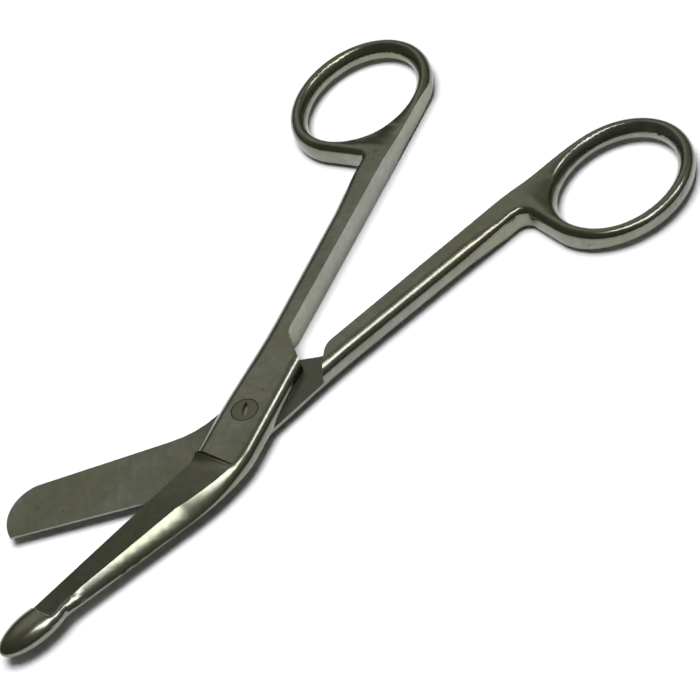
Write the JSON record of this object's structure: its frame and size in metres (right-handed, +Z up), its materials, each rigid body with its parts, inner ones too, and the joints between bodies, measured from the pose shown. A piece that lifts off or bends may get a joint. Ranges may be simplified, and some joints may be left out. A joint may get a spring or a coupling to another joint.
{
  "type": "bandage scissors",
  "caption": "Angled steel bandage scissors with oval finger rings, a blunt probe on one blade, a plain round-ended second blade and a flush slotted pivot screw.",
  "frame": {"origin": "on the pivot axis, in the plane the scissors lie on", "axes": "+X along the middle line between the two handles, from the pivot towards the finger rings; +Z up, along the pivot screw towards its head"},
  "size_m": [0.1444, 0.0822, 0.0051],
  "materials": {
    "satin_steel": "satin ground stainless steel, dark olive grey where it reflects the room",
    "screw_steel": "satin stainless steel, ground flush with the half it sits in"
  },
  "bodies": {
    "plain_half": {"plain_blade_half": "satin_steel", "pivot_screw": "screw_steel"},
    "probe_half": {"probe_blade_half": "satin_steel"}
  },
  "joints": [
    {"name": "pivot", "type": "hinge", "parent": "plain_half", "child": "probe_half", "pos_m": [0, 0, 0], "axis": [0, 0, 1], "range_deg": [-24.9, 95]}
  ]
}
